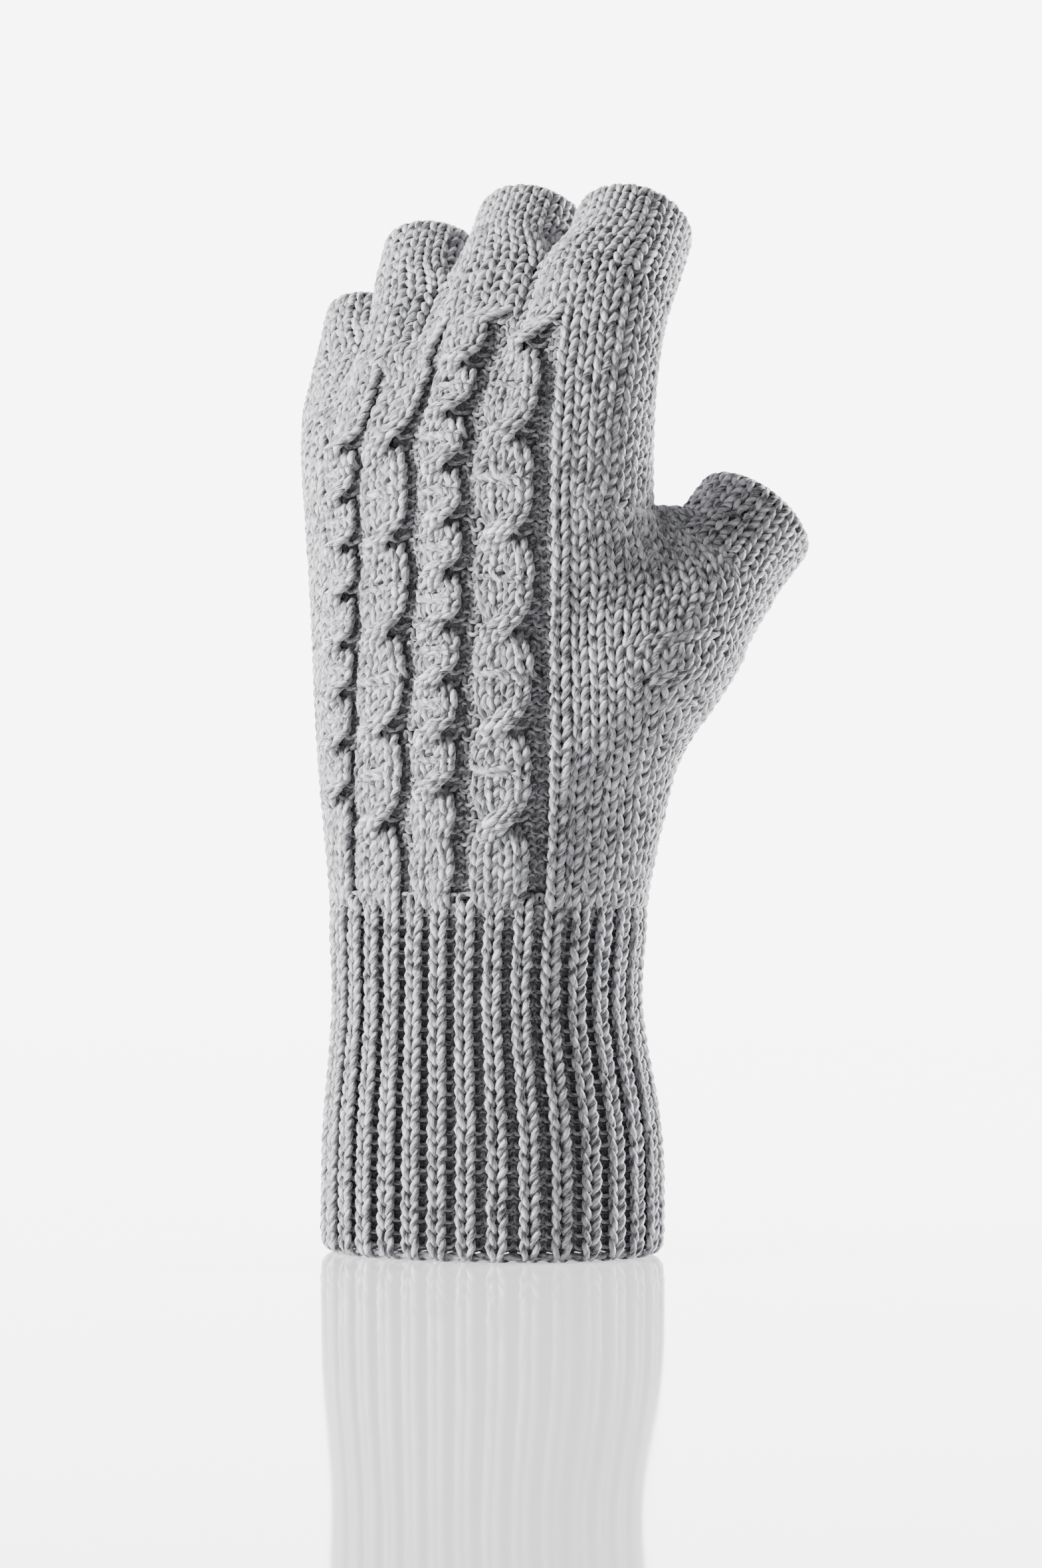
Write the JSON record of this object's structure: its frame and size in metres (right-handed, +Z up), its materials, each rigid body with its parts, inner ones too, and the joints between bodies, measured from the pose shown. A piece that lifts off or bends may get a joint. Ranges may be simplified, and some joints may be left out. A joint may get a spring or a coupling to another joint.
{
  "type": "fingerless glove",
  "caption": "Knitted fingerless glove for a left hand, with a ribbed cuff, a cabled back and open digit stubs that bend.",
  "frame": {"origin": "middle of the cuff's opening, on the surface that the hem stands on", "axes": "+Z up from the hem to the fingers, -Y out of the back of the hand, +X to the thumb side"},
  "size_m": [0.1014, 0.0636, 0.1953],
  "materials": {
    "rib_knit": "ribbed heather wool",
    "plain_knit": "stocking-stitch heather wool",
    "cable_knit": "cabled heather wool",
    "cast_off": "cast-off heather wool"
  },
  "bodies": {
    "cuff": {"cuff_hem": "rib_knit", "rib_cuff": "rib_knit", "wrist_band": "rib_knit"},
    "hand": {"hand_shell": "plain_knit", "knuckle_shell": "plain_knit", "thumb_gusset": "plain_knit", "cable_1": "cable_knit", "cable_2": "cable_knit", "cable_3": "cable_knit", "cable_4": "cable_knit", "index_band": "plain_knit", "middle_band": "plain_knit", "ring_band": "plain_knit", "little_band": "plain_knit", "thumb_band": "plain_knit"},
    "index": {"index_tube": "plain_knit", "index_edge": "cast_off"},
    "middle": {"middle_tube": "plain_knit", "middle_edge": "cast_off"},
    "ring": {"ring_tube": "plain_knit", "ring_edge": "cast_off"},
    "little": {"little_tube": "plain_knit", "little_edge": "cast_off"},
    "thumb": {"thumb_tube": "plain_knit", "thumb_edge": "cast_off"}
  },
  "joints": [
    {"name": "wrist_bend", "type": "hinge", "parent": "cuff", "child": "hand", "pos_m": [-0.001, -0.0005, 0.056], "axis": [-1, 0, 0], "range_deg": [-30, 30], "stiffness_Nm_per_rad": 0.3, "deforming": ["wrist_band"]},
    {"name": "index_bend", "type": "hinge", "parent": "hand", "child": "index", "pos_m": [0.02195, 0.00807, 0.17536], "axis": [-1, 0, 0], "range_deg": [-35, 38], "stiffness_Nm_per_rad": 0.02, "deforming": ["index_band"]},
    {"name": "middle_bend", "type": "hinge", "parent": "hand", "child": "middle", "pos_m": [-0.00087, 0.008, 0.17654], "axis": [-1, 0, 0], "range_deg": [-35, 38], "stiffness_Nm_per_rad": 0.02, "deforming": ["middle_band"]},
    {"name": "ring_bend", "type": "hinge", "parent": "hand", "child": "ring", "pos_m": [-0.02202, 0.00696, 0.17116], "axis": [-1, 0, 0], "range_deg": [-35, 18], "stiffness_Nm_per_rad": 0.02, "deforming": ["ring_band"]},
    {"name": "little_bend", "type": "hinge", "parent": "hand", "child": "little", "pos_m": [-0.04003, 0.01197, 0.16299], "axis": [-1, 0, 0], "range_deg": [-35, 38], "stiffness_Nm_per_rad": 0.02, "deforming": ["little_band"]},
    {"name": "thumb_bend", "type": "hinge", "parent": "hand", "child": "thumb", "pos_m": [0.0369, 0.02041, 0.12553], "axis": [0, -0.7468, 0.665], "range_deg": [-20, 35], "stiffness_Nm_per_rad": 0.02, "deforming": ["thumb_band"]}
  ]
}
